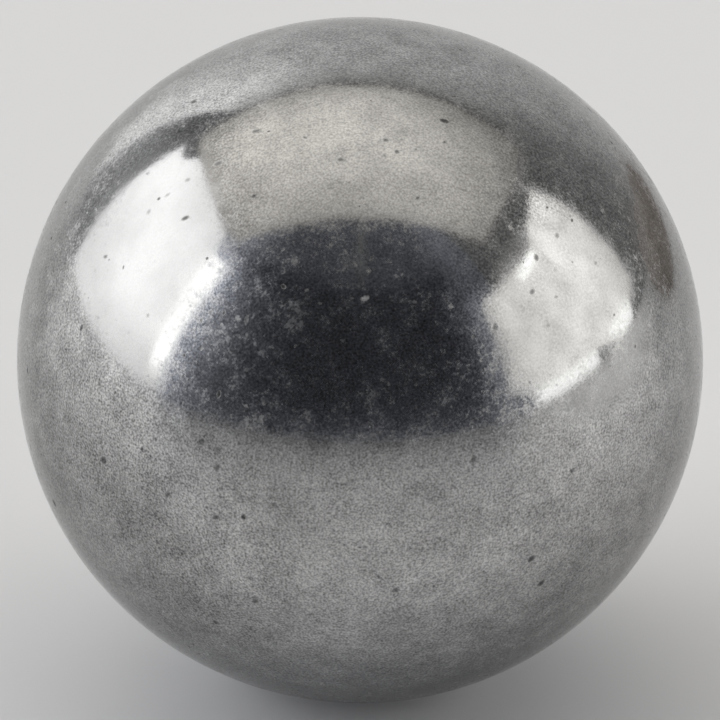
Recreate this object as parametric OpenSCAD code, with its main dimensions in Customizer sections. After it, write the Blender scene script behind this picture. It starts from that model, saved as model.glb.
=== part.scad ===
/* [Ball] */
// Diameter of the ball
ball_d = 10; // [2:0.5:50]

/* [Hidden] */

// A steel ball: one solid sphere, centred on the origin.
module ball() {
    color([0.66, 0.66, 0.65]) sphere(d = ball_d, $fn = 180);
}

ball();
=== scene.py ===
# %% [markdown]
# # A polished steel ball with a finely pitted skin
#
# The real piece is one solid ball of hardened steel. It has no seam, no hole and no second
# part, so everything that the eye reads is in its skin: a mirror polish, slightly hazy,
# peppered with tiny dark pits and nicks, and clouded where handling has dulled it.
# A ball shows nothing of itself but what stands round it, so the lesson has two halves:
# the skin, and the small studio that the skin reflects.

import bpy
import numpy as np
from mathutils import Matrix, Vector


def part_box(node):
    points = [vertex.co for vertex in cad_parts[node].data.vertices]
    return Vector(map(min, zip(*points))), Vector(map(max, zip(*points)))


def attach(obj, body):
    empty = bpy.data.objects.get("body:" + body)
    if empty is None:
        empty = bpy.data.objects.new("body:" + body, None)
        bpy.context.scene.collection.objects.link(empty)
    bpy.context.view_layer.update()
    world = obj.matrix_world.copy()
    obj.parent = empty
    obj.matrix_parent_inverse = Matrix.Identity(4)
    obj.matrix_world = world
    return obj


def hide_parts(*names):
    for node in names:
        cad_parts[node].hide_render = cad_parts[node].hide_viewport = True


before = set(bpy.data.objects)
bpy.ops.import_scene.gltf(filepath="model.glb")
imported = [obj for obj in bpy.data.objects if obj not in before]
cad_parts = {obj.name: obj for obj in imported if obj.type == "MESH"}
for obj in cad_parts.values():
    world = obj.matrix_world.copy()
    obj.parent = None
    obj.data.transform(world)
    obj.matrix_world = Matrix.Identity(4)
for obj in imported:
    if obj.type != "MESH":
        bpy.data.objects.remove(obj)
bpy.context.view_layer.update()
ball_low, ball_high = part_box("ball")
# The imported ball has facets, which reach the true sphere along Z and fall microns short across.
radius = (ball_high - ball_low).z / 2
centre = Vector((0.0, 0.0, (ball_high.z + ball_low.z) / 2))
print(f"ball radius {radius * 1000:.4f} mm, centred on {tuple(round(c, 7) for c in centre)}")

# %% [markdown]
# ## The camera
#
# A small polished ball is seen best from far away through a long lens, because from close by
# the camera itself would fill the reflection. The camera looks down on the ball by 27
# degrees, from 28 ball radii away. The field of view is worked out so that the outline of
# the ball, which is the cone that touches it, fills 95 % of the picture.

# %% Camera
VIEW_HEIGHT = 27.0  # degrees above the floor
VIEW_DISTANCE = 28.0  # in ball radii
BALL_SHARE = 0.953  # share of the picture's width that the ball fills
SENSOR = 36.0  # millimetres


def toward(azimuth, height):
    """Unit vectors for angles in degrees. Azimuth 0 points to the camera's side, along -Y, and
    90 along +X, and height is the angle above the floor. The formula is x = sin a cos h,
    y = -cos a cos h, z = sin h."""
    a, h = np.radians(azimuth), np.radians(height)
    return np.stack([np.sin(a) * np.cos(h), -np.cos(a) * np.cos(h), np.sin(h)], axis=-1)


back = Vector(toward(0.0, VIEW_HEIGHT))
outline_tangent = np.tan(np.arcsin(1 / VIEW_DISTANCE))
camera_data = bpy.data.cameras.new("camera")
camera_data.sensor_width = SENSOR
camera_data.lens = SENSOR / 2 / (outline_tangent / BALL_SHARE)
camera_data.clip_start = radius
camera_data.clip_end = radius * 100
camera = bpy.data.objects.new("camera", camera_data)
camera.location = centre + back * radius * VIEW_DISTANCE
camera.rotation_mode = "QUATERNION"
camera.rotation_quaternion = (-back).to_track_quat("-Z", "Y")
bpy.context.scene.collection.objects.link(camera)
bpy.context.scene.camera = camera
bpy.context.scene.view_settings.view_transform = "Standard"
print(f"lens {camera_data.lens:.0f} mm, {VIEW_DISTANCE * radius:.3f} m away")


# %% [markdown]
# ## Helpers for meshes
#
# Every surface here is a grid of points worked out by a formula. A grid could be joined up
# point by point, but one helper numbers all its cells at once and another makes the mesh.

# %% Mesh helpers
def grid_faces(rows, columns):
    """The four corner numbers of each cell of a grid whose points are counted row by row."""
    corner = np.arange(rows - 1)[:, None] * columns + np.arange(columns - 1)
    corner = corner.reshape(-1, 1)
    return corner + np.array([0, 1, columns + 1, columns])


def add_mesh(name, points, faces, material):
    """A mesh object from an array of points and lists of corner numbers."""
    mesh = bpy.data.meshes.new(name)
    mesh.from_pydata(points.reshape(-1, 3).tolist(), [], faces)
    mesh.materials.append(material)
    thing = bpy.data.objects.new(name, mesh)
    bpy.context.scene.collection.objects.link(thing)
    return thing


# %% [markdown]
# ## Helpers for materials
#
# A material is a tree of nodes, and the same few nodes come up again and again: a ramp, a
# colour made lighter or darker, one shader laid over another. Each gets a short function that
# makes the node, puts the numbers on its own sockets, links it and hands back its output.

# %% Helpers for numbers
def new_material(name):
    """An empty node material: the material, its tree, and its output node."""
    material = bpy.data.materials.new(name)
    material.use_nodes = True
    tree = material.node_tree
    tree.nodes.clear()
    return material, tree, tree.nodes.new("ShaderNodeOutputMaterial")


def feed(tree, socket, value):
    """Puts a plain number on a socket, or links another node's output to it."""
    if isinstance(value, float):
        socket.default_value = value
    else:
        tree.links.new(value, socket)


def combined(tree, operation, first_value, second_value, clamp=False):
    """A sum, product or other plain combination of two values or numbers."""
    node = tree.nodes.new("ShaderNodeMath")
    node.operation = operation
    node.use_clamp = clamp
    feed(tree, node.inputs[0], first_value)
    feed(tree, node.inputs[1], second_value)
    return node.outputs["Value"]


def faded(tree, value, low, high, start=0.0, end=1.0, kind="SMOOTHSTEP"):
    """A ramp of a value: start below low, end above high, and in between a smooth step, or a
    straight line if the kind is LINEAR."""
    node = tree.nodes.new("ShaderNodeMapRange")
    node.interpolation_type = kind
    node.inputs["From Min"].default_value = low
    node.inputs["From Max"].default_value = high
    node.inputs["To Min"].default_value = start
    node.inputs["To Max"].default_value = end
    tree.links.new(value, node.inputs["Value"])
    return node.outputs["Result"]


def stored(tree, name):
    """A value that is stored on the points of the mesh."""
    node = tree.nodes.new("ShaderNodeAttribute")
    node.attribute_name = name
    return node.outputs["Fac"]


def rays(tree, kind):
    """1 for rays of one kind, and 0 for all others."""
    return tree.nodes.new("ShaderNodeLightPath").outputs[kind]


# %% Helpers for places, colours and shaders
def own_place(tree):
    """Where a point lies in the piece's own coordinates."""
    return tree.nodes.new("ShaderNodeTexCoord").outputs["Object"]


def along(tree, place, direction):
    """How far a place lies in a direction: their dot product."""
    node = tree.nodes.new("ShaderNodeVectorMath")
    node.operation = "DOT_PRODUCT"
    node.inputs[1].default_value = direction
    tree.links.new(place, node.inputs[0])
    return node.outputs["Value"]


def shaded(tree, colour, level):
    """A colour times a level."""
    node = tree.nodes.new("ShaderNodeVectorMath")
    node.operation = "SCALE"
    node.inputs[0].default_value = colour
    tree.links.new(level, node.inputs["Scale"])
    return node.outputs["Vector"]


def glowing(tree, colour, strength):
    """A shader that gives off light of one colour."""
    node = tree.nodes.new("ShaderNodeEmission")
    node.inputs["Color"].default_value = (*colour, 1.0)
    feed(tree, node.inputs["Strength"], strength)
    return node.outputs["Emission"]


def mixed(tree, share, first_shader, second_shader):
    """Two shaders in one: the first where the share is 0, and the second where it is 1."""
    node = tree.nodes.new("ShaderNodeMixShader")
    tree.links.new(share, node.inputs["Fac"])
    tree.links.new(first_shader, node.inputs[1])
    tree.links.new(second_shader, node.inputs[2])
    return node.outputs["Shader"]


# %% [markdown]
# ## The floor
#
# A plain pale table. It reaches to 250 ball radii, so that from low angles the camera still
# sees nothing else, and the lower half of the ball mirrors it. It takes the ball's own soft
# shadow, which the bottom of the ball mirrors as a darker patch. Its satin sheen is left to
# the mirror image in the ball: straight at the camera, from a low angle, that sheen would
# throw back the lamps and bleach the table white, so there the table is plain and matt, and
# far out it melts into the pale wall behind, as a paper backdrop does.

# %% Floor material
WALL_COLOUR = (1.0, 0.99, 0.97)
WALL_SEEN = 0.70  # how bright the wall stands behind the table
FLOOR_COLOUR = (0.845, 0.85, 0.868)
FLOOR_SHEEN = 0.40  # roughness of its satin surface
FLOOR_FRONT = 0.5  # share of its colour far out on the camera's side, where it lies in shade
FRONT_FAR, FRONT_NEAR = -30.0, -2.0  # along Y in ball radii, from full shade to none
MELT_NEAR, MELT_FAR = 10.0, 80.0  # ball radii from the middle, from all table to all wall

floor_material, floor_tree, floor_out = new_material("pale_table")
floor_place = own_place(floor_tree)
floor_shade = faded(
    floor_tree, along(floor_tree, floor_place, (0.0, 1.0, 0.0)),
    FRONT_FAR * radius, FRONT_NEAR * radius, FLOOR_FRONT, 1.0, "LINEAR",
)
floor_skin = floor_tree.nodes.new("ShaderNodeBsdfPrincipled")
floor_skin.inputs["Roughness"].default_value = FLOOR_SHEEN
floor_tree.links.new(
    shaded(floor_tree, FLOOR_COLOUR, floor_shade), floor_skin.inputs["Base Color"]
)
floor_matt = floor_tree.nodes.new("ShaderNodeBsdfDiffuse")
floor_matt.inputs["Color"].default_value = (*FLOOR_COLOUR, 1.0)
floor_way = floor_tree.nodes.new("ShaderNodeVectorMath")
floor_way.operation = "LENGTH"
floor_tree.links.new(floor_place, floor_way.inputs[0])
floor_melt = faded(
    floor_tree, floor_way.outputs["Value"], MELT_NEAR * radius, MELT_FAR * radius
)
floor_wall = glowing(floor_tree, WALL_COLOUR, WALL_SEEN)
floor_plain = mixed(floor_tree, floor_melt, floor_matt.outputs["BSDF"], floor_wall)
floor_look = mixed(
    floor_tree, rays(floor_tree, "Is Camera Ray"), floor_skin.outputs["BSDF"], floor_plain
)
floor_tree.links.new(floor_look, floor_out.inputs["Surface"])
print(f"floor material: {len(floor_tree.nodes)} nodes")

# %% Floor
FLOOR_REACH = 250.0  # in ball radii
FLOOR_RINGS = 40
FLOOR_SPOKES = 96

reach = np.linspace(0.0, 1.0, FLOOR_RINGS)[:, None] ** 2 * FLOOR_REACH * radius
way_round = np.linspace(0.0, 2 * np.pi, FLOOR_SPOKES + 1)[None, :]
floor_points = np.stack(
    np.broadcast_arrays(reach * np.cos(way_round), reach * np.sin(way_round), ball_low.z),
    axis=-1,
)
floor = add_mesh(
    "floor", floor_points, grid_faces(FLOOR_RINGS, FLOOR_SPOKES + 1).tolist(), floor_material
)
print(f"floor {2 * FLOOR_REACH * radius:.2f} m across, at z = {ball_low.z * 1000:.2f} mm")

# %% [markdown]
# ## The studio round the ball
#
# The ball mirrors the whole room at once, so the room is set up as for any polished metal: a
# pale room, a warm white ceiling cloth, one large softbox on the left with a bright strip
# beside it, a smaller one on the right, and black cloth where the camera stands. Lamps could
# light it, but polished metal shows the lamps themselves, so each is a glowing card 1.5 m
# away, laid out in angles as seen from the ball. A card's cover falls to nothing at its soft
# edges, which lets the card or the wall behind show through.

# %% Room
WALL_GLOW = 0.60  # how bright the ball sees the wall

world = bpy.data.worlds.new("room")
bpy.context.scene.world = world
world.use_nodes = True
room_tree = world.node_tree
room_light = room_tree.nodes["Background"]
room_light.inputs["Color"].default_value = (*WALL_COLOUR, 1.0)
room_level = faded(
    room_tree, rays(room_tree, "Is Camera Ray"), 0.0, 1.0, WALL_GLOW, WALL_SEEN, "LINEAR"
)
room_tree.links.new(room_level, room_light.inputs["Strength"])
print(f"room: {WALL_GLOW} bright to the ball, {WALL_SEEN} to the camera")

# %% Curves and grids
def smooth(low, high, value):
    """Smooth step: 0 below low, 1 above high, and 3 t^2 - 2 t^3 in between."""
    t = np.clip((value - low) / (high - low), 0.0, 1.0)
    return t * t * (3 - 2 * t)


def bell(middle, width, value):
    """1 at the middle, and about a third at a width to either side: exp(-(d / width)^2)."""
    return np.exp(-(((value - middle) / width) ** 2))


def spread(low, high, step=1.0):
    """Angles from low to high, about a step apart."""
    return np.linspace(low, high, int(abs(high - low) / step) + 2)


# How far across a card and how far up it each point lies, from 0 to 1.
side = spread(0, 1, 0.01)[None, :]
up = spread(0, 1, 0.02)[:, None]
print(f"a card has {side.size} points across and {up.size} points up")

# %% Cards
ROOM_REACH = 300.0  # in ball radii
# How far out each layer of cards hangs, as a share of that. A nearer card hides a farther one.
STRIPS_AT = 0.94
SOFTBOXES_AT = 0.95
BENCH_END_AT = 0.96
CEILING_AT = 0.97
GAP_AT = 0.98
WALL_AT = 0.985
CLOTH_AT = 0.99


def glow_material(name, colour, strength, covered):
    """Light of one colour, times the card's own glow, seen through its cover if it has one."""
    material, tree, out = new_material(name)
    level = combined(tree, "MULTIPLY", stored(tree, "glow"), strength)
    light = glowing(tree, colour, level)
    if covered:
        clear = tree.nodes.new("ShaderNodeBsdfTransparent").outputs["BSDF"]
        light = mixed(tree, stored(tree, "cover"), clear, light)
    tree.links.new(light, out.inputs["Surface"])
    return material


def add_card(name, azimuth, height, layer, colour, strength, glow=1.0, cover=None):
    """A card on a shell round the ball: its points are the centre plus the layer's distance times
    toward(azimuth, height), over grids of the two angles. Glow and cover are values on the same
    grid, and a card without a cover is solid."""
    azimuth, height = np.broadcast_arrays(azimuth, height)
    points = np.array(centre) + toward(azimuth, height) * (ROOM_REACH * layer) * radius
    card = add_mesh(
        name,
        points,
        grid_faces(*azimuth.shape).tolist(),
        glow_material(name, colour, strength, cover is not None),
    )
    layers = {"glow": glow} if cover is None else {"glow": glow, "cover": cover}
    for layer_name, value in layers.items():
        values = np.broadcast_to(value, azimuth.shape).astype(np.float32)
        stored_values = card.data.attributes.new(layer_name, "FLOAT", "POINT").data
        stored_values.foreach_set("value", values.ravel())
    print(f"card {name}: {azimuth.size} points")
    return card


nearest_card, farthest_card = (ROOM_REACH * layer * radius for layer in (STRIPS_AT, CLOTH_AT))
print(f"cards hang {nearest_card:.2f} to {farthest_card:.2f} m away")

# %% [markdown]
# ## The ceiling cloth
#
# The largest light is a cream cloth stretched over the whole room. Its lower edge has four
# straight sides, and a straight side overhead is seen as an arch: highest where it faces the
# ball, sinking to either hand. The cloth could be a flat sheet, but as a part of the shell it
# meets the walls without any fitting, and a formula for its edge gives the arch exactly. It
# glows most at the left and the back, has a few soft folds, and has a band of painted shade at the
# back right, where it sags.

# %% Edge of the ceiling
# Each straight side: the azimuth it faces, and its height over its distance.
EDGES = [(0.0, 3.70), (81.0, 1.175), (176.0, 1.12), (-83.0, 1.15)]
EDGE_BLEND = 30.0  # how sharply one side gives way to the next


def turn_from(facing, azimuth):
    """Signed angle from facing to azimuth, from -180 to 180."""
    return (azimuth - facing + 180.0) % 360.0 - 180.0


def ceiling_edge(azimuth):
    """Height of the ceiling's lower edge. A straight edge has tan(height) = h/d * cos(angle from
    the way it faces), and the highest edge counts, blended as log(sum(exp(k t))) / k."""
    total = np.zeros(np.shape(azimuth))
    for facing, slope in EDGES:
        angle = turn_from(facing, azimuth)
        total = total + np.exp(EDGE_BLEND * slope * np.cos(np.radians(angle)))
    return np.degrees(np.arctan(np.log(total) / EDGE_BLEND))


print(f"ceiling edge over the camera {ceiling_edge(0.0):.1f} degrees up")


# %% Levels and folds
def by_azimuth(azimuth, levels):
    """Levels joined by straight lines, from pairs of an azimuth and its level."""
    return np.interp(azimuth, *np.transpose(levels))


def folds(azimuth, height, waves):
    """Soft folds in cloth: the sum of size * sin(a * azimuth + b * height), in degrees."""
    total = np.zeros(np.broadcast_shapes(azimuth.shape, height.shape))
    for across_rate, up_rate, size in waves:
        angle = np.radians(azimuth * across_rate + height * up_rate)
        total = total + size * np.sin(angle)
    return total


# %% Ceiling cloth
# How much less the cloth glows just inside its edge, by azimuth.
EDGE_SHADE = [
    (-180, 0.4), (-165, 0.6), (-150, 0.85), (-135, 1.0), (-120, 0.7), (-105, 0.55), (-90, 0.5),
    (-78, 0.15), (-60, 0.0), (60, 0.0), (75, 0.22), (90, 0.25), (120, 0.5), (150, 0.6), (165, 0.4),
    (180, 0.4),
]
EDGE_SHADE_WIDTH = 10.5  # degrees
CEILING_WAVES = [(0.8, 23, 0.03), (-2.1, 41, 0.02), (5, 13, 0.025), (3, 67, 0.015)]

across = spread(-180, 180, 1.5)[None, :]
ceiling_low = ceiling_edge(across)
ceiling_height = ceiling_low + (90.0 - ceiling_low) * up
to_left, to_back = -np.sin(np.radians(across)), -np.cos(np.radians(across))
level_reach = np.cos(np.radians(ceiling_height))
slant = 0.15 * to_left * level_reach + 0.45 * to_back * level_reach
corner = 1.1 * to_left * to_back * level_reach**2
behind = 0.13 * smooth(-0.04, 0.08, to_back * level_reach)
crown = 0.09 * smooth(62, 74, ceiling_height) * smooth(40, 110, np.abs(across))
# Painted shade at the back right, where the cloth sags.
sag_shade = 0.14 * bell(61, 8, ceiling_height) * bell(0, 28, turn_from(135.0, across))
edge_shade = by_azimuth(across, EDGE_SHADE)
edge_shade = edge_shade * bell(0, EDGE_SHADE_WIDTH, ceiling_height - ceiling_low)
ceiling_glow = 1.0 + slant + corner + behind + crown - sag_shade - edge_shade
add_card(
    "ceiling_cloth", across, ceiling_height, CEILING_AT, (1.0, 0.965, 0.9), 0.98,
    glow=ceiling_glow + folds(across, ceiling_height, CEILING_WAVES),
    cover=smooth(0.0, 0.03, up),
)

# %% [markdown]
# ## Black cloth round the camera
#
# For polished metal, black cloth is hung round the camera, so that the metal mirrors
# darkness there instead of a person. It is not quite black: light from the softboxes at its
# sides and from the ceiling grazes it, falling off with distance from each. Lamps on a real
# cloth would do the same, but a formula lets each spill be set by itself. In the middle,
# over the camera, a stand catches a faint upright gleam.

# %% Black cloth
CLOTH_LEFT, CLOTH_RIGHT = -80, 62  # azimuths of its sides
CLOTH_LEVEL = 0.05  # how bright it is away from all the lamps
LEFT_LIT, LEFT_SPILL, LEFT_FALL = -67.0, 1.05, 8.2  # azimuth, level, and fall-off in degrees
RIGHT_LIT, RIGHT_SPILL, RIGHT_FALL = 48.0, 0.30, 4.0

cloth_azimuth = spread(CLOTH_LEFT, CLOTH_RIGHT)[None, :]
cloth_height = (ceiling_edge(cloth_azimuth) + 3.0) * up
left_spill = LEFT_SPILL * np.exp(-np.clip(cloth_azimuth - LEFT_LIT, 0, None) / LEFT_FALL)
left_spill = left_spill * (0.55 + 0.45 * smooth(4, 24, cloth_height))
left_spill = left_spill * (1 - 0.65 * smooth(40, 50, cloth_height))
left_spill = left_spill * (1 + 0.25 * bell(33, 8, cloth_height))
right_spill = RIGHT_SPILL * np.exp(np.clip(cloth_azimuth - RIGHT_LIT, None, 0) / RIGHT_FALL)
right_spill = right_spill * (0.75 + 0.25 * smooth(7, 14, cloth_height))
right_fade = 0.62 * smooth(34, 42, cloth_height) - 0.12 * smooth(54, 62, cloth_height)
right_spill = right_spill * (1 - right_fade)
top_spill = 0.07 * smooth(46, 57, cloth_height) + 0.06 * smooth(62, 74, cloth_height)
low_spill = 0.11 * np.exp(-cloth_height / 5.0)
add_card(
    "camera_cloth", cloth_azimuth, cloth_height, CLOTH_AT, (0.89, 0.93, 1.06), 1.0,
    glow=CLOTH_LEVEL + left_spill + right_spill + top_spill + low_spill,
)

# %% Camera stand
stand_azimuth = spread(-5, 7, 0.25)[None, :]
add_card(
    "camera_stand", stand_azimuth, 50 + 26 * up, WALL_AT, (1.0, 0.99, 0.9), 0.36,
    cover=smooth(0, 0.5, up) * bell(0.5, 1.6, stand_azimuth),
)

# %% [markdown]
# ## The left softbox
#
# A softbox is a cloth front with a lamp behind. This one has a crowned top edge, a corner cut
# away at its far end, and a brighter upright strip at the near end, where the cloth stops
# short of the lamp. It could be drawn as an outline and filled, but in angles from the ball
# each edge is one short formula, and the grid between the edges carries the glow.

# %% Left softbox
BOX_NEAR, BOX_BEND, BOX_FAR = -75.8, -125.8, -133.7  # azimuths of its near side, bend and tip
BOX_FOOT = -127.2  # azimuth where its far side meets the table
BOX_CROWN, BOX_TOP = -91.0, 48.6  # azimuth and height of its crown
BOX_TIP, BOX_LOW = 33.0, 0.5  # heights of the tip and the foot

box_left = BOX_FOOT + (BOX_FAR - BOX_FOOT) * up**1.3
box_azimuth = box_left + (BOX_NEAR - box_left) * side
box_top = BOX_TOP - 8.4 * (np.clip(BOX_CROWN - box_azimuth, 0, None) / 34.6) ** 2
box_cut = BOX_TIP + 5.5 * (np.clip(box_azimuth - BOX_FAR, 0, None) / 7.7) ** 3
box_top = np.where(box_azimuth < BOX_BEND, np.minimum(box_cut, box_top), box_top)
box_top = box_top - 4.5 * smooth(-79.5, -76.0, box_azimuth)
box_height = BOX_LOW + (box_top - BOX_LOW) * up
box_glow = 0.86 + 0.14 * smooth(4, 18, box_height) - 0.21 * smooth(34, 48, box_height)
box_glow = box_glow - 0.05 * smooth(-92, -80, box_azimuth)
box_glow = box_glow - 0.12 * (1 - smooth(8, 20, box_height)) * smooth(-104, -88, box_azimuth)
add_card(
    "left_softbox", box_azimuth, box_height, SOFTBOXES_AT, (1.0, 1.0, 0.995), 2.28,
    glow=box_glow,
)

# %% Left strip
STRIP_COLOUR = (1.0, 1.0, 0.98)
STRIP_TALL = 42.2  # degrees

strip_right = -69.4 + 3.4 * smooth(0.1, 0.9, up)
strip_azimuth = BOX_NEAR + (strip_right - BOX_NEAR) * side
add_card(
    "left_strip", strip_azimuth, BOX_LOW + STRIP_TALL * up, STRIPS_AT, STRIP_COLOUR, 2.75,
    glow=0.55 + 0.45 * smooth(2, 9, STRIP_TALL * up),
)

# %% [markdown]
# ## The right softbox
#
# The second softbox is older: its cloth hangs in faint folds, its upper edge is frayed into a
# soft fringe, and two bright strips show under its rippled hem, with a wedge of wall between
# them. Near the top the lamp shines through in a small lens-shaped patch. The softbox is
# made as the left one is, and the frayed edge is left to the card's cover.

# %% Outline of the right softbox
RIGHT_NEAR, RIGHT_WIDE = 49.0, 66.0  # azimuth of its near side, and its width at the foot
RIGHT_TOP, RIGHT_LOW = 37.0, 0.3  # heights
WEDGE_NEAR, WEDGE_FAR = 87.5, 98.5  # azimuths where the hem jumps up, and where it is down again

right_azimuth = RIGHT_NEAR + (RIGHT_WIDE - 1.5 * up) * side
right_top = RIGHT_TOP + 4.0 * smooth(87, 96, right_azimuth)
right_top = right_top - 3.0 * smooth(111, 116, right_azimuth)
right_top = right_top - 6.0 * (np.clip(57.0 - right_azimuth, 0, None) / 8.0) ** 2
right_fringe = 7.0 * smooth(62, 70, right_azimuth) * (1 - smooth(86, 95, right_azimuth))
wedge = np.clip((WEDGE_FAR - right_azimuth) / 2.6, 0, None)
right_low = RIGHT_LOW + 5.5 * (1 - smooth(58, 60, right_azimuth))
right_low = right_low + 4.0 * smooth(107, 111, right_azimuth)
right_low = right_low + np.where(right_azimuth > WEDGE_NEAR, wedge, 0.0)
right_height = right_low + (right_top + right_fringe - right_low) * up
print(f"right softbox: {right_height.min():.1f} to {right_height.max():.1f} degrees up")

# %% Right softbox
# How brightly it glows, by azimuth.
RIGHT_LEVELS = [
    (49, 0.7), (54, 1.12), (60, 1.42), (70, 1.5), (82, 1.52), (88.5, 1.62), (91.5, 1.86),
    (100, 1.74), (106, 1.7), (111, 1.4), (115, 1.2),
]
RIGHT_WAVES = [(21, 9, 0.06), (13, -24, 0.06), (47, 38, 0.06), (-35, 15, 0.045)]
RIGHT_CREASES = [(24, 5, 0.07), (9, -17, 0.05)]  # as the waves, but sharp
CREASE_WIDTH = 0.25
FRAY = 3.0  # degrees over which the fringe thins to a third

right_folds = 1 + folds(right_azimuth, right_height, RIGHT_WAVES)
for across_rate, up_rate, size in RIGHT_CREASES:
    crease = np.abs(folds(right_azimuth, right_height, [(across_rate, up_rate, 1.0)]))
    right_folds = right_folds + size * np.exp(-crease / CREASE_WIDTH)
low_light = 0.17 * bell(11, 6, right_height) * (1 - smooth(82, 92, right_azimuth))
above = np.clip(right_height - right_top, 0, None)
fringe_cover = (1 - 0.55 * smooth(0, 0.8, above)) * np.exp(-above / FRAY)
add_card(
    "right_softbox", right_azimuth, right_height, SOFTBOXES_AT, (1.0, 0.985, 0.95), 1.0,
    glow=by_azimuth(right_azimuth, RIGHT_LEVELS) * right_folds * (1 + low_light),
    cover=smooth(49.8, 52.8, right_azimuth) * fringe_cover,
)

# %% Bright strips and patch
STRIP_LEVEL = 2.6
ripple = 0.3 * np.sin(np.radians(360 * 3.3 * side))

near_azimuth = 60.0 + (WEDGE_NEAR - 60.0) * side
near_low = 0.2 + 0.7 * smooth(70, 82, near_azimuth)
add_card(
    "right_strip_near", near_azimuth, near_low + (4.6 + ripple - near_low) * up,
    STRIPS_AT, STRIP_COLOUR, STRIP_LEVEL,
)
far_azimuth = 93.5 + 15.0 * side
far_low = 1.0 + np.clip((100.0 - far_azimuth) / 2.0, 0, None)
add_card(
    "right_strip_far", far_azimuth, far_low + (5.2 + ripple - far_low) * up,
    STRIPS_AT, STRIP_COLOUR, STRIP_LEVEL,
)
lens = np.sqrt(1 - (2 * side - 1) ** 2)
add_card(
    "right_patch", 73 + 14 * side, 35.0 + side + lens * (3.2 * up - 1.6),
    STRIPS_AT, STRIP_COLOUR, 2.9,
)

# %% [markdown]
# ## The walls
#
# Between the softboxes the room shows: a narrow grey gap past the left one, and on the right
# a dim wall that brightens towards the back, with a band of painted shade where it meets the
# ceiling. The pale room alone would be too even here, so these stretches of it are glowing cards as
# well, with their light and shade painted into the glow.

# %% Gap beside the left softbox
gap_azimuth = -146.2 + 20.2 * side
gap_height = (ceiling_edge(gap_azimuth) + 1) * up
add_card(
    "left_gap", gap_azimuth, gap_height, GAP_AT, (0.98, 0.985, 1.0), 1.0,
    glow=0.50 - 0.27 * smooth(16, 31, gap_height),
)

# %% Back wall
# How bright the wall is, by azimuth.
WALL_LEVELS = [
    (60, 0.17), (90, 0.2), (110, 0.24), (130, 0.24), (150, 0.5), (165, 0.66), (180, 0.7),
    (195, 0.9), (207, 1.4), (214, 1.45),
]
SEAM_SHADE_FALL = 4.2  # degrees below the ceiling over which the painted shade at the seam fades to a third

wall_azimuth = 60.0 + 154.5 * side
wall_edge = ceiling_edge(wall_azimuth)
wall_height = (wall_edge + 1) * up
# Painted shade just under the ceiling, at the seam.
seam_shade = 0.8 * np.exp(-np.clip(wall_edge - wall_height, 0, None) / SEAM_SHADE_FALL)
seam_shade = seam_shade * smooth(125, 150, wall_azimuth)
wedge_light = 0.30 * bell(92, 6, wall_azimuth) * (1 - smooth(4, 8, wall_height))
add_card(
    "back_wall", wall_azimuth, wall_height, WALL_AT, (0.985, 0.985, 0.975), 1.0,
    glow=by_azimuth(wall_azimuth, WALL_LEVELS) * (1 - seam_shade) + wedge_light,
)

# %% [markdown]
# ## The bench past the end of the table
#
# Behind the ball on the right the pale table stops and a brown bench shows, running back to
# its own end panel. The ball mirrors it as a thin brown streak close to its rim. The bench is
# a flat outline laid a hair above the table, and its panel is a low card at the wall. It is
# there for the mirror image alone: looked at directly, the table runs on pale beneath it.

# %% Bench material
BENCH_COLOUR = (0.335, 0.305, 0.285)
BENCH_WAY = (0.7, 0.7, 0.0)  # the way it runs back from the ball
BENCH_FAR = 1.35  # how much lighter it is far away
BENCH_NEAR_END, BENCH_FAR_END = 10.0, 60.0  # ball radii along it, from no lighter to all of it

bench_skin, bench_tree, bench_out = new_material("brown_bench")
bench_level = faded(
    bench_tree, along(bench_tree, own_place(bench_tree), BENCH_WAY),
    BENCH_NEAR_END * radius, BENCH_FAR_END * radius, 1.0, BENCH_FAR, "LINEAR",
)
bench_matt = bench_tree.nodes.new("ShaderNodeBsdfDiffuse")
bench_tree.links.new(
    shaded(bench_tree, BENCH_COLOUR, bench_level), bench_matt.inputs["Color"]
)
bench_clear = bench_tree.nodes.new("ShaderNodeBsdfTransparent")
bench_look = mixed(
    bench_tree, rays(bench_tree, "Is Glossy Ray"), bench_clear.outputs["BSDF"],
    bench_matt.outputs["BSDF"],
)
bench_tree.links.new(bench_look, bench_out.inputs["Surface"])
print(f"bench material: {len(bench_tree.nodes)} nodes")

# %% Bench
BENCH_EDGE = [
    (3.4, 6.8), (3.9, 6.0), (4.8, 5.0), (5.8, 4.5), (8.3, 5.6), (15.0, 9.7), (43.0, 28.0),
    (199.0, 134.0), (134.0, 199.0), (29.5, 47.0), (9.8, 18.2), (4.1, 8.4),
]  # its corners on the table, in ball radii
BENCH_LIFT = 0.01  # in ball radii

bench_points = np.column_stack([BENCH_EDGE, np.full(len(BENCH_EDGE), BENCH_LIFT)]) * radius
bench_points[:, 2] += ball_low.z
bench = add_mesh("brown_bench", bench_points, [tuple(range(len(BENCH_EDGE)))], bench_skin)
print(f"bench corners: {len(bench_points)}")

# %% End panel of the bench
# The end panel is a glowing card: the light on it is painted into its glow.
panel_azimuth = 124 + 20 * side
panel_top = 4.6 * (1 - smooth(134, 145, panel_azimuth))
add_card(
    "bench_end", panel_azimuth, panel_top * up, BENCH_END_AT, (1.0, 0.92, 0.86), 0.42,
    cover=(1 - 0.6 * smooth(0.3, 1.0, up)) * smooth(124, 127, panel_azimuth),
)

# %% [markdown]
# ## The skin of the ball
#
# A globe's grid of rings and meridians would crowd at the poles. A cube blown up to a ball
# has cells of nearly one size everywhere, so the skin is that: six square patches of equal
# angles. Where the steel has a pit, the cell that holds it is opened and filled with a small
# dish of rings, so the pits are real hollows and the smooth steel between them stays light.

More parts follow.
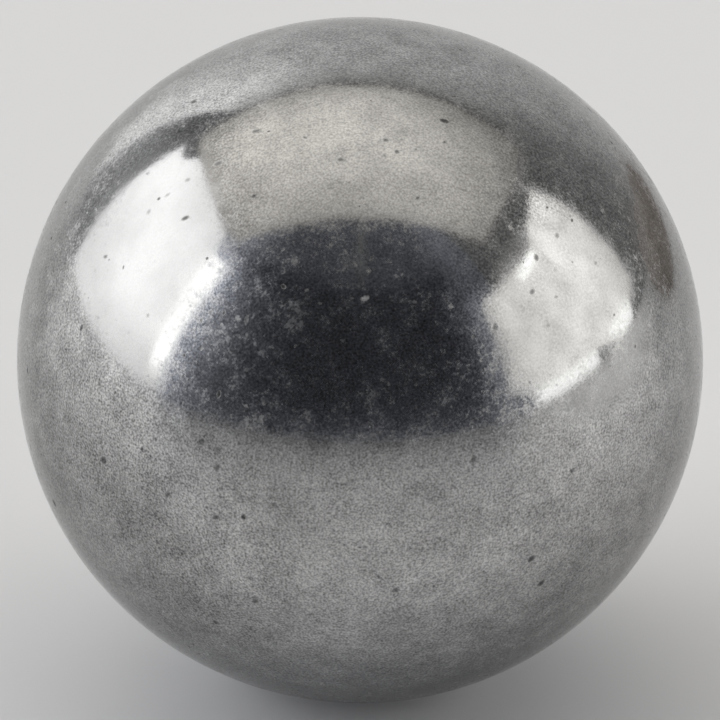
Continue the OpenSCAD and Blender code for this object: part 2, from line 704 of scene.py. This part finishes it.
# %% Faces of the cube
CUBE_TURN = np.radians(-20.0)  # about the upright, so that its edges miss the larger pits
EAST = np.array([np.cos(CUBE_TURN), np.sin(CUBE_TURN), 0.0])
NORTH = np.array([-np.sin(CUBE_TURN), np.cos(CUBE_TURN), 0.0])
UP = np.array([0.0, 0.0, 1.0])
AXES = np.array([EAST, -EAST, NORTH, -NORTH, UP, -UP])
side_axes = np.cross(UP, AXES)
side_axes[4:] = EAST
upper_axes = np.cross(AXES, side_axes)


def on_cube(face, u, v):
    """Unit vectors from a cube face's number and two angles: the face's axis plus tan u along
    its side axis and tan v along its upper axis, brought to length 1."""
    point = AXES[face]
    point = point + np.tan(u)[..., None] * side_axes[face]
    point = point + np.tan(v)[..., None] * upper_axes[face]
    return point / np.linalg.norm(point, axis=-1, keepdims=True)


def cube_angles(face, point):
    """The two angles of a direction on a cube face, the reverse of on_cube."""
    out = np.sum(point * AXES[face], axis=-1)
    u = np.arctan2(np.sum(point * side_axes[face], axis=-1), out)
    v = np.arctan2(np.sum(point * upper_axes[face], axis=-1), out)
    return u, v


print(f"the cube has {len(AXES)} faces")

# %% Grid of the ball
CELLS = 60  # cells along each edge of the cube
CELL = np.pi / 2 / CELLS
STEPS_TO_RADIUS = 1e6  # points of two faces that round to the same step are one

lines = np.linspace(-np.pi / 4, np.pi / 4, CELLS + 1)
face_grid, v_grid, u_grid = np.meshgrid(np.arange(6), lines, lines, indexing="ij")
grid_points = on_cube(face_grid, u_grid, v_grid).reshape(-1, 3)
first, number = np.unique(
    np.round(grid_points * STEPS_TO_RADIUS).astype(int),
    axis=0, return_index=True, return_inverse=True,
)[1:]
smooth_points = grid_points[first]
corner_number = number.reshape(6, CELLS + 1, CELLS + 1)
print(f"smooth ball: {len(smooth_points)} points, {6 * CELLS * CELLS} cells")

# %% [markdown]
# ## Where the pits are
#
# Most pits are scattered, thicker in some clouds than in others, and most are tiny. A few
# stand out, and those are listed one by one: azimuth and height on the ball in degrees, half
# its length and half its width in thousandths of the radius, lean of the long way from level
# in degrees, and its strength: up to 1 for a dark rough pit, down to -1 for a nick with a painted
# glint.

# %% Pits listed one by one
MARKS = [
    (38, 67, 18, 11, -40, 1.0),
    (-45, 45, 19, 10, 45, 0.7),
    (-60, 33, 14, 9, 30, 0.55),
    (-61, 30, 11, 8, 30, 0.3),
    (-80, 61, 14, 12, 40, 0.7),
    (-45, 56, 21, 12, 50, 0.6),
    (-41, 64, 21, 11, 30, 0.55),
    (-51, 51, 15, 10, 40, 0.4),
    (-54, 47, 18, 9, 60, 0.4),
    (-65, 48, 12, 8, 20, 0.3),
    (-50, 25, 12, 10, 0, 0.25),
    (-46, 24, 13, 10, 20, 0.3),
    (-49, 16, 16, 12, 20, 0.5),
    (-27, 11, 19, 16, 60, 0.65),
    (-24, 10, 17, 14, 30, 0.55),
    (-24, 7, 18, 14, 40, 0.65),
    (-47, 2, 21, 17, 50, 0.75),
    (-67, -16, 18, 16, 10, 0.6),
    (-33, 0, 17, 14, 20, 0.6),
    (-24, -2, 17, 14, 20, 0.65),
    (-19, -13, 20, 15, 10, 0.5),
    (-36, 9, 15, 12, 20, 0.5),
    (-58, 5, 16, 14, 50, 0.5),
    (-44, -9, 17, 14, 30, 0.5),
    (-55, 12, 16, 13, 30, 0.5),
    (-70, 8, 17, 14, 50, 0.5),
    (-14, 2, 15, 12, 20, 0.5),
    (-39, -17, 18, 14, 0, 0.5),
    (30, -12, 19, 14, 40, 0.85),
    (33, -18, 17, 14, 40, 0.85),
    (6, -14, 16, 12, 30, 0.65),
    (3, -11, 16, 12, -50, 0.5),
    (-18, -18, 19, 15, 20, 0.6),
    (-27, -26, 19, 15, -30, 0.65),
    (37, 3, 13, 11, 0, 0.65),
    (19, 9, 18, 14, 60, 0.6),
    (1, 37, 18, 10, 20, -0.75),
    (-11, 38, 10, 8, 0, -0.45),
    (-8, 36, 9, 8, 0, -0.4),
    (11, 36, 10, 8, 0, -0.4),
    (5, 23, 10, 9, 0, -0.35),
    (6, 28, 10, 8, 0, -0.35),
    (-24, 32, 13, 11, 0, -0.4),
    (-23, 29, 11, 9, 0, -0.35),
    (67, 51, 15, 13, 0, 0.5),
    (40, 39, 15, 10, 70, 0.6),
    (36, 34, 15, 11, 30, 0.55),
    (48, 41, 15, 12, 30, 0.45),
    (43, 36, 12, 11, 0, 0.35),
    (37, 28, 14, 12, 0, 0.4),
    (26, 30, 15, 12, 60, 0.5),
    (54, 34, 11, 10, 0, 0.45),
    (-43, 28, 12, 10, 0, 0.3),
    (-49, 34, 13, 11, 0, 0.2),
    (65, 40, 12, 9, 0, 0.5),
]
marks = np.array(MARKS, float)
print(f"{len(marks)} pits and nicks placed by hand")

# %% Scattered pits
PIT_COUNT = 1100
PIT_SIZE, PIT_SPREAD = 0.0072, 0.32  # middle size in radii, and the spread of its logarithm
PIT_LEAST, PIT_MOST = 0.004, 0.014  # in radii
PIT_SLIMMEST = 1.7  # length over width
BETWEEN_CLOUDS = 0.15  # chance that a place outside the clouds keeps its pit
DEPTH_FAINT, DEPTH_STRONG = 0.004, 0.04  # depth over size: of any pit, and more with strength
SCATTERED_DEPTH = 0.6  # the scattered ones are shallower by this much
rng = np.random.default_rng(7)


def cloudiness(points, waves=24, reach=5.0):
    """A cloudy value from 0 to 1: the sum of cosine waves in random directions, squashed."""
    direction = rng.normal(size=(waves, 3)) * reach
    phase = rng.uniform(0, 2 * np.pi, waves)
    total = np.cos(points @ direction.T + phase).sum(axis=1) / np.sqrt(waves / 2)
    return 1 / (1 + np.exp(-1.8 * total))


tries = rng.normal(size=(PIT_COUNT * 6, 3))
tries /= np.linalg.norm(tries, axis=1, keepdims=True)
chance = rng.uniform(size=len(tries))
kept = chance < BETWEEN_CLOUDS + (1 - BETWEEN_CLOUDS) * cloudiness(tries) ** 1.5
places = tries[kept][:PIT_COUNT]
mean_size = np.exp(rng.normal(np.log(PIT_SIZE), PIT_SPREAD, len(places)))
mean_size = mean_size.clip(PIT_LEAST, PIT_MOST)
slimness = rng.uniform(1.0, PIT_SLIMMEST, len(places)) ** 0.5
lean = rng.uniform(0, np.pi, len(places))

places = np.concatenate([toward(marks[:, 0], marks[:, 1]), places])
long_way = np.concatenate([marks[:, 2] / 1000, mean_size * slimness])
short_way = np.concatenate([marks[:, 3] / 1000, mean_size / slimness])
lean = np.concatenate([np.radians(marks[:, 4]), lean])
strength = rng.beta(1.1, 2.3, len(places))
strength[: len(marks)] = marks[:, 5]
depth = np.sqrt(long_way * short_way) * (DEPTH_FAINT + DEPTH_STRONG * np.abs(strength))
depth[len(marks) :] *= SCATTERED_DEPTH
print(f"{len(places)} pits, {long_way.min() * radius * 1e6:.0f} to "
      f"{long_way.max() * radius * 1e6:.0f} micrometres half-length")

# %% [markdown]
# ## Dishes in the grid
#
# A pit's dish is a set of rings round its middle. Its depth falls as (1 - s^2)^2, where s is
# 0 in the middle and 1 at the rim, so the wall is steep half way and the rim runs out level.
# A small pit fits one cell. A larger one opens a block of four cells. Each dish is moved a
# little so that it lies wholly inside its own opening, and an opening holds one dish.

# %% Rings of a dish
RING_SHARES = np.array([1.0, 0.72, 0.45, 0.2])


def dish_ways(place, lean_angle):
    """The long way and the short way of each dish: unit vectors in the plane that touches the
    ball. The long way is level, turned by the lean, and the short way is square to it."""
    level = np.cross(UP, place)
    level /= np.linalg.norm(level, axis=-1, keepdims=True)
    rise = np.cross(place, level)
    long_side = np.cos(lean_angle)[:, None] * level + np.sin(lean_angle)[:, None] * rise
    return long_side, np.cross(place, long_side)


def ring_points(place, a, b, lean_angle, facing, share):
    """Points of one ring of each dish, and the dish's slope there. The ring is an ellipse of
    half-lengths a and b in the plane that touches the ball, share times as large. Where it
    faces an angle f from its long way, it is at (a^2 cos f, b^2 sin f) / hypot(a cos f, b sin f)."""
    long_side, short_side = dish_ways(place, lean_angle)
    a, b = a[:, None], b[:, None]
    size = share / np.hypot(a * np.cos(facing), b * np.sin(facing))
    along_it = size * a**2 * np.cos(facing)
    across_it = size * b**2 * np.sin(facing)
    offset = along_it[..., None] * long_side[:, None] + across_it[..., None] * short_side[:, None]
    point = place[:, None] + offset
    point /= np.linalg.norm(point, axis=-1, keepdims=True)
    slope = (along_it / a**2)[..., None] * long_side[:, None]
    slope = slope + (across_it / b**2)[..., None] * short_side[:, None]
    return point, 4 * (1 - share**2) * slope


print(f"{len(RING_SHARES)} rings to a dish")

# %% Fit each pit into its opening
RIM_GAP = 0.06  # least gap from rim to opening, in cells


def fit_inside(place, a, b, lean_angle, cells, nearest=False):
    """Moves each dish so that its rim lies inside its block of cells, and says whether it fits:
    the rim's reach in the two cube angles is kept clear of the block's sides. A block starts at
    a multiple of its own size, or is the one centred nearest to the dish."""
    face = np.argmax(place @ AXES.T, axis=1)
    even_turns = np.radians(np.arange(0, 360, 15))
    rim = ring_points(place, a, b, lean_angle, even_turns, 1.0)[0]
    middle = np.stack(cube_angles(face, place), axis=-1)
    reach_uv = np.abs(np.stack(cube_angles(face[:, None], rim), axis=-1) - middle[:, None])
    reach_uv = reach_uv.max(axis=1) + RIM_GAP * CELL
    in_cells = (middle + np.pi / 4) / CELL
    block = np.round(in_cells - cells / 2) if nearest else np.floor(in_cells / cells) * cells
    block = block.clip(0, CELLS - cells).astype(int)
    low = block * CELL - np.pi / 4
    high = low + CELL * cells
    fits = np.all(2 * reach_uv < CELL * cells, axis=1)
    middle = np.clip(middle, low + reach_uv, np.maximum(high - reach_uv, low + reach_uv))
    moved = on_cube(face, middle[:, 0], middle[:, 1])
    return {"place": moved, "face": face, "block": block, "fits": fits}


def cells_of(fitted, picks, cells):
    """Face, row and column of every cell in the picked dishes' blocks, one row per dish."""
    face, block = fitted["face"][picks], fitted["block"][picks]
    step = np.arange(cells * cells)
    rows = block[:, 1:] + step // cells
    columns = block[:, :1] + step % cells
    return np.broadcast_to(face[:, None], rows.shape), rows, columns


by_mark = fit_inside(places, long_way, short_way, lean, 2, nearest=True)
small = fit_inside(places, long_way, short_way, lean, 1)
large = fit_inside(places, long_way, short_way, lean, 2)
print(f"{small['fits'].sum()} pits fit in one cell")

# %% Share out the openings
taken = np.zeros((6, CELLS, CELLS), bool)


def one_each(fitted, cells, wanted):
    """The first wanted pit of each opening whose cells are all free. It takes those cells."""
    everyone = np.arange(len(places))
    free = wanted & ~taken[cells_of(fitted, everyone, cells)].any(axis=1)
    candidates = np.flatnonzero(free)
    block = fitted["block"]
    owner = (fitted["face"] * CELLS + block[:, 1]) * CELLS + block[:, 0]
    first_found = np.unique(owner[candidates], return_index=True)[1]
    picks = candidates[np.sort(first_found)]
    taken[cells_of(fitted, picks, cells)] = True
    return picks


mark_picks = []
for pick in range(len(marks)):
    cells_here = cells_of(by_mark, np.array([pick]), 2)
    if by_mark["fits"][pick] and not taken[cells_here].any():
        taken[cells_here] = True
        mark_picks.append(pick)
mark_picks = np.array(mark_picks)
scattered = np.arange(len(places)) >= len(marks)
large_picks = one_each(large, 2, scattered & ~small["fits"] & large["fits"])
small_picks = one_each(small, 1, scattered & small["fits"])
print(f"dishes: {len(mark_picks)} of {len(marks)} marks placed")
print(f"dishes: {len(small_picks)} in one cell, {len(large_picks)} in four cells")


# %% Points of the dishes
def faced_angles(place, face, block, cells, lean_angle, count):
    """Which way each ring point faces, as an angle from the dish's long way. A ring has one
    point that squarely faces each side of the opening, and turns evenly from one to the next.
    A side is a great circle, faced along the cross product of the corners at its ends."""
    low = block * CELL - np.pi / 4
    u = low[:, :1] + CELL * cells * np.array([0, 1, 1, 0])
    v = low[:, 1:] + CELL * cells * np.array([0, 0, 1, 1])
    corners = on_cube(face[:, None], u, v)
    outward = np.cross(np.roll(corners, -1, axis=1), corners)
    long_side, short_side = dish_ways(place, lean_angle)
    square_on = np.arctan2(
        np.sum(outward * short_side[:, None], axis=-1),
        np.sum(outward * long_side[:, None], axis=-1),
    )
    turn = (np.roll(square_on, -1, axis=1) - square_on) % (2 * np.pi)
    share_of_turn = np.arange(0, 1, 4 / count)
    return (square_on[..., None] + turn[..., None] * share_of_turn).reshape(-1, count)


def dish_points(picks, place, facing):
    """Points and normals of each picked dish, ring by ring and then the middle, and how far out
    each point is: s, from 1 at the rim to 0. A point sinks by the depth times (1 - s^2)^2."""
    a, b, angle = long_way[picks], short_way[picks], lean[picks]
    deep = depth[picks][:, None, None]
    points, normals, shares = [], [], []
    for share in RING_SHARES:
        ring, slope = ring_points(place, a, b, angle, facing, share)
        points.append(ring * (1 - deep * (1 - share**2) ** 2))
        normals.append(ring - deep * slope)
        shares.append(np.full(ring.shape[:2], share))
    points.append(place[:, None] * (1 - deep))
    normals.append(place[:, None])
    shares.append(np.zeros((len(picks), 1)))
    return [np.concatenate(rings, axis=1) for rings in (points, normals, shares)]


# %% Faces of the dishes
def dish_faces(face, block, cells, count, start):
    """Quads and triangles of each dish, whose own points are counted from its start. Each side of
    the opening is joined to the rim point that faces it, and each corner to the stretch of rim
    between two such points, so no triangle can fold over. Quads join ring to ring, and
    triangles join the inner ring to the middle."""
    walk = np.arange(cells)
    walk_u = np.concatenate([walk, np.full(cells, cells), cells - walk, np.zeros(cells, int)])
    walk_v = np.roll(walk_u, cells)
    border = corner_number[face[:, None], block[:, 1:] + walk_v, block[:, :1] + walk_u]
    ring_at = np.arange(count)
    next_at = (ring_at + 1) % count
    border_at = np.arange(4 * cells)
    next_border = (border_at + 1) % (4 * cells)
    faced = border_at // cells * (count // 4)
    nearest_corner = (ring_at * 4 // count + 1) % 4 * cells
    quads = []
    triangles = [
        np.stack([border[:, border_at], border[:, next_border], start + faced], axis=-1),
        np.stack([border[:, nearest_corner], start + next_at, start + ring_at], axis=-1),
    ]
    for ring_number in range(len(RING_SHARES) - 1):
        outer, inner = start + ring_number * count, start + (ring_number + 1) * count
        corners = [outer + ring_at, outer + next_at, inner + next_at, inner + ring_at]
        quads.append(np.stack(corners, axis=-1))
    inner = start + (len(RING_SHARES) - 1) * count
    middle = np.broadcast_to(start + len(RING_SHARES) * count, (len(face), count))
    triangles.append(np.stack([inner + ring_at, inner + next_at, middle], axis=-1))
    return np.concatenate(quads, axis=1), np.concatenate(triangles, axis=1)


def make_dishes(picks, fitted, cells, count, first_number):
    """All that the mesh needs of the picked dishes, whose points are counted from first_number.
    A point's hollow is the pit's strength times (1 - s^2)."""
    place, face, block = (fitted[part][picks] for part in ("place", "face", "block"))
    facing = faced_angles(place, face, block, cells, lean[picks], count)
    points, normals, shares = dish_points(picks, place, facing)
    start = first_number + np.arange(len(picks))[:, None] * points.shape[1]
    quads, triangles = dish_faces(face, block, cells, count, start)
    return {
        "points": points.reshape(-1, 3),
        "normals": normals.reshape(-1, 3),
        "hollow": ((1 - shares**2) * strength[picks][:, None]).ravel(),
        "quads": quads.reshape(-1, 4),
        "quad_faces": np.repeat(face, quads.shape[1]),
        "triangles": triangles.reshape(-1, 3),
        "triangle_faces": np.repeat(face, triangles.shape[1]),
    }


# %% All the dishes
SMALL_RING, LARGE_RING, MARK_RING = 12, 16, 24  # points to a ring

dishes = []
next_number = len(smooth_points)
for picks, fitted, cells, count in (
    (small_picks, small, 1, SMALL_RING),
    (large_picks, large, 2, LARGE_RING),
    (mark_picks, by_mark, 2, MARK_RING),
):
    dishes.append(make_dishes(picks, fitted, cells, count, next_number))
    next_number += len(dishes[-1]["points"])
print(f"dishes: {next_number - len(smooth_points)} points")

# %% [markdown]
# ## One watertight mesh
#
# The cells without a pit stay as they are, and the dishes fill the others. Both kinds use the
# same corner points, so the skin closes without a seam, and points that no face uses drop
# out. Each point gets the true normal of its formula. Normals averaged from the faces would
# be a little off round each pit, and a mirror polish shows that at once.

# %% Join cells and dishes
corner_grids = [
    corner_number[:, :-1, :-1], corner_number[:, :-1, 1:],
    corner_number[:, 1:, 1:], corner_number[:, 1:, :-1],
]
cell_quads = np.stack([grid.ravel() for grid in corner_grids], axis=-1)
cell_faces = np.repeat(np.arange(6), CELLS * CELLS)
open_cells = ~taken.ravel()


def with_dishes(smooth_part, name):
    """The smooth ball's part of an array, followed by each set of dishes' part."""
    return np.concatenate([smooth_part, *(dish[name] for dish in dishes)])


points = with_dishes(smooth_points, "points")
normals = with_dishes(smooth_points, "normals")
hollow = with_dishes(np.zeros(len(smooth_points)), "hollow")
quads = with_dishes(cell_quads[open_cells], "quads")
quad_faces = with_dishes(cell_faces[open_cells], "quad_faces")
triangles = with_dishes(np.zeros((0, 3), int), "triangles")
triangle_faces = with_dishes(np.zeros(0, int), "triangle_faces")

loop_points = np.concatenate([quads.ravel(), triangles.ravel()])
used, renumbered = np.unique(loop_points, return_inverse=True)
points, normals, hollow = points[used], normals[used], hollow[used]
normals /= np.linalg.norm(normals, axis=1, keepdims=True)
quads = renumbered[: quads.size].reshape(-1, 4)
triangles = renumbered[quads.size :].reshape(-1, 3)
triangle_count = len(quads) * 2 + len(triangles)
print(f"ball mesh: {len(points)} points, {triangle_count} triangles")

# %% Ball mesh
ball_mesh = bpy.data.meshes.new("steel_ball")
ball_mesh.from_pydata(
    (points * radius + np.array(centre)).tolist(), [], quads.tolist() + triangles.tolist()
)
ball_mesh.shade_smooth()
ball_mesh.normals_split_custom_set_from_vertices(normals.tolist())
ball_mesh.attributes.new("hollow", "FLOAT", "POINT").data.foreach_set(
    "value", hollow.astype(np.float32)
)
print(f"hollow from {hollow.min():.2f} to {hollow.max():.2f}")

# %% [markdown]
# ## Flat map
#
# The skin is laid flat for baking as six squares, one to each face of the cube. An automatic
# unwrap would cut it into many scraps. Here the two directions of a square are the cube
# angles themselves, so the steel is stretched evenly everywhere.

# %% Flat map
MAP_NAME = "OFBake"
MAP_GAP = 0.012  # share of a square left bare round it
MAP_COLUMNS, MAP_ROWS = 3, 2

loop_face = np.concatenate([np.repeat(quad_faces, 4), np.repeat(triangle_faces, 3)])
flat_u, flat_v = cube_angles(loop_face, points[renumbered])
flat = np.stack([flat_u, flat_v], axis=-1) / (np.pi / 2) * (1 - 2 * MAP_GAP) + 0.5
flat[:, 0] = (flat[:, 0] + loop_face % MAP_COLUMNS) / MAP_COLUMNS
flat[:, 1] = (flat[:, 1] + loop_face // MAP_COLUMNS) / MAP_ROWS
ball_mesh.uv_layers.new(name=MAP_NAME).uv.foreach_set("vector", flat.astype(np.float32).ravel())
print(f"flat map from {flat.min(axis=0).round(4)} to {flat.max(axis=0).round(4)}")

# %% [markdown]
# ## The steel
#
# One metal shader carries the finish. Its colour, roughness and bump come from patterns on
# the ball's own coordinates, counted in ball radii, so that they keep their scale with it.
# Patterns on the flat map would break at the edges of its squares.

# %% Steel
STEEL = (0.39, 0.39, 0.39)
STEEL_TINT = (0.8, 0.8, 0.8)  # how bright it stays where it turns away near the rim
POLISH = 0.085  # roughness of the polished skin

steel, steel_tree, steel_out = new_material("polished_steel")
nodes, links = steel_tree.nodes, steel_tree.links
skin = nodes.new("ShaderNodeBsdfPrincipled")
skin.inputs["Metallic"].default_value = 1.0
skin.inputs["Specular Tint"].default_value = (*STEEL_TINT, 1.0)
links.new(skin.outputs["BSDF"], steel_out.inputs["Surface"])
scale_down = nodes.new("ShaderNodeVectorMath")
scale_down.operation = "SCALE"
scale_down.inputs["Scale"].default_value = 1 / radius
links.new(own_place(steel_tree), scale_down.inputs["Vector"])
in_radii = scale_down.outputs["Vector"]
print(f"steel: {len(nodes)} nodes to start with")


# %% Short names for the steel's nodes
def plus(first_value, second_value):
    """The sum of two values or numbers."""
    return combined(steel_tree, "ADD", first_value, second_value)


def times(first_value, second_value):
    """The product of two values or numbers."""
    return combined(steel_tree, "MULTIPLY", first_value, second_value)


def larger(first_value, second_value):
    """The larger of two values or numbers."""
    return combined(steel_tree, "MAXIMUM", first_value, second_value)


def ramp(value, low, high, start=0.0, end=1.0):
    """A smooth step of a value: start below low, end above high."""
    return faded(steel_tree, value, low, high, start, end)


def changed(value, mask, factor):
    """A value that is multiplied by the factor where the mask is 1, and left alone where it is 0."""
    return times(value, ramp(mask, 0.0, 1.0, 1.0, factor))


def near(azimuth, height, full, fade):
    """1 within full degrees of a place on the ball, falling to 0 at fade degrees."""
    closeness = along(steel_tree, in_radii, toward(azimuth, height))
    return ramp(closeness, *np.cos(np.radians([fade, full])))


def noise(scale, detail=2.0, roughness=0.5):
    """A cloudy pattern of that many clouds to a ball radius."""
    node = nodes.new("ShaderNodeTexNoise")
    node.inputs["Scale"].default_value = scale
    node.inputs["Detail"].default_value = detail
    node.inputs["Roughness"].default_value = roughness
    links.new(in_radii, node.inputs["Vector"])
    return node.outputs["Fac"]


def clouded(pattern, start, end):
    """From start to end over the range of 0.3 to 0.7, in which a cloudy pattern mostly lies."""
    return ramp(pattern, 0.3, 0.7, start, end)


# %% [markdown]
# ## Patterns of the skin
#
# Tumbled and ground steel is never even. Seen close, it has a fine grain, freckles and a
# broad mottling, one laid over another, and a rash of dots too small to be modelled. One
# noise with many octaves could give them all, but separate ones can be set one by one.

# %% Patterns of the skin
clouds = noise(3.2, detail=3.0, roughness=0.6)
mottle = noise(13.0, detail=3.0, roughness=0.6)
freckle = noise(42.0, detail=3.0, roughness=0.6)
fine = noise(100.0, detail=1.0)
grain = noise(165.0, detail=0.0)
worn = plus(plus(times(mottle, 0.42), times(freckle, 0.3)), times(fine, 0.28))

dots = nodes.new("ShaderNodeTexVoronoi")
dots.inputs["Scale"].default_value = 50.0
links.new(in_radii, dots.inputs["Vector"])
dot_near = ramp(dots.outputs["Distance"], 0.05, 0.38, 1.0, 0.0)
dot_pick = nodes.new("ShaderNodeSeparateColor")
links.new(dots.outputs["Color"], dot_pick.inputs["Color"])
dot = times(dot_near, ramp(dot_pick.outputs["Red"], 0.75, 1.0))
print(f"steel: {len(nodes)} nodes with the patterns")

# %% [markdown]
# ## Pits and nicks
#
# The dishes are real, but the floor of a pit is also dark and rough, and a nick is rough and
# lighter in colour, which paints a glint on it. The mesh stores how deep in a pit each point
# lies, which a pattern could only guess, so the colour follows the hollows exactly.

# %% Pits and nicks
hollow_value = stored(steel_tree, "hollow")
pit_dark = ramp(hollow_value, 0.03, 1.0)
# A nick's lighter colour is a painted glint.
nick_painted_glint = ramp(hollow_value, -1.0, 0.0, 1.0, 0.0)
rough_hollow = ramp(combined(steel_tree, "ABSOLUTE", hollow_value, 0.0), 0.0, 0.6)
print(f"steel: {len(nodes)} nodes with the pits")

# %% [markdown]
# ## Where handling has kept it clean
#
# On the upper left of the front the skin is clean, as if a palm had rubbed it, with a spot
# on the right and a half clean one near the top. A mask could be painted by hand, but the
# patch is the overlap of four round spots, and a spot is one dot product with its direction.

# %% Clean patches
CLEAN_SHARE = 0.93  # how much of the unevenness is gone from a clean patch
# Azimuth, height, degrees of full effect, and degrees to no effect.
PALM_SPOTS = [(-37, 36, 26, 30), (-27, 57, 39, 43), (-65, 20, 36, 40), (-162, -5, 123, 128)]

palm = near(*PALM_SPOTS[0])
for spot in PALM_SPOTS[1:]:
    palm = times(palm, near(*spot))
half_clean = times(near(0, 62, 12, 30), 0.4)
clean = plus(palm, times(near(45, 28, 13, 20), 0.75))
clean = larger(combined(steel_tree, "MINIMUM", clean, 1.0), half_clean)
dulled = combined(steel_tree, "SUBTRACT", 1.0, times(clean, CLEAN_SHARE))
print(f"steel: {len(nodes)} nodes with the clean patches")

# %% [markdown]
# ## Colour
#
# The steel is one grey. The patterns make it lighter or darker, least of all where it has
# been kept clean, and a few broad patches of painted light and shade make the mirror image
# lighter or darker as a whole. A painted skin would blur when seen close, and a formula stays as
# fine as it is.

# %% Colour
# Azimuth, height, degrees of full effect, degrees to no effect, and factor.
# Painted shade where the shaded table at the lower left and the ball's own shadow near its bottom
# are mirrored, and painted light just below the front.
PAINTED_LIGHT_AND_SHADE_PATCHES = [(-50, -18, 5, 35, 0.8), (12, -17, 2, 26, 1.12), (0, -52, 8, 45, 0.9)]

uneven = times(combined(steel_tree, "SUBTRACT", grain, 0.5), 1.35)
uneven = plus(uneven, clouded(mottle, -0.11, 0.11))
uneven = plus(uneven, clouded(freckle, -0.06, 0.06))
uneven = plus(uneven, times(dot, -0.25))
uneven = changed(uneven, near(-50, -12, 10, 45), 1.25)
tone = plus(times(uneven, dulled), 1.0)
tone = times(tone, clouded(clouds, 0.9, 1.09))
tone = changed(tone, pit_dark, 0.25)
# Nicks lighter in colour: a painted glint.
tone = changed(tone, nick_painted_glint, 1.5)
# Painted light and shade, patch by patch.
for *patch, factor in PAINTED_LIGHT_AND_SHADE_PATCHES:
    tone = changed(tone, near(*patch), factor)
links.new(shaded(steel_tree, STEEL, tone), skin.inputs["Base Color"])
print(f"steel: {len(nodes)} nodes with the colour")

# %% [markdown]
# ## Roughness
#
# Haze is what dulls a mirror: where the skin is worn or dotted, its image spreads. A single
# roughness would blur every edge alike, so it varies in the same clouds as the colour, and
# there is less of it in a few calm patches that have stayed smooth.

# %% Roughness
# Azimuth, height, degrees of full effect, and degrees to no effect.
CALM_PATCHES = [(0, 78, 12, 40), (42, 43, 15, 25), (-62, 57, 8, 18)]

calm = near(*CALM_PATCHES[0])
for patch in CALM_PATCHES[1:]:
    calm = larger(calm, near(*patch))
haze = times(ramp(worn, 0.44, 0.68), 0.28)
haze = plus(haze, times(dot, 0.25))
haze = changed(haze, clean, 0.6)
haze = changed(haze, calm, 0.45)
haze = changed(haze, near(3, 26, 8, 20), 0.82)
haze = plus(haze, ramp(grain, 0.35, 0.65, 0.0, 0.03))
haze = plus(haze, clouded(clouds, 0.02, -0.01))
haze = plus(haze, times(rough_hollow, 0.35))
links.new(combined(steel_tree, "ADD", haze, POLISH, clamp=True), skin.inputs["Roughness"])
print(f"steel: {len(nodes)} nodes with the roughness")

# %% [markdown]
# ## Bump
#
# The grain and a slow waviness are about a thousandth of a millimetre high. They are far too
# many to model, and only make the mirror image tremble a little, so a bump is enough.

# %% Bump
RELIEF = 0.00035  # height of the relief, in ball radii

relief = times(grain, 0.1)
relief = combined(steel_tree, "SUBTRACT", relief, times(dot, 0.15))
relief = plus(relief, times(noise(20.0, detail=1.0), 0.4))
bump = nodes.new("ShaderNodeBump")
bump.inputs["Strength"].default_value = 1.0
bump.inputs["Distance"].default_value = RELIEF * radius
links.new(relief, bump.inputs["Height"])
links.new(bump.outputs["Normal"], skin.inputs["Normal"])
print(f"steel: {len(nodes)} nodes in all, relief {RELIEF * radius * 1e6:.2f} micrometres")

# %% [markdown]
# ## Handing the ball over
#
# The finished skin takes the place of the plain solid ball and rides on its one body. It is
# the only piece of the part; all else here is stage.

# %% Hand the ball over
ball_mesh.materials.append(steel)
ball = bpy.data.objects.new("steel_ball", ball_mesh)
bpy.context.scene.collection.objects.link(ball)
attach(ball, "root")
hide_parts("ball")
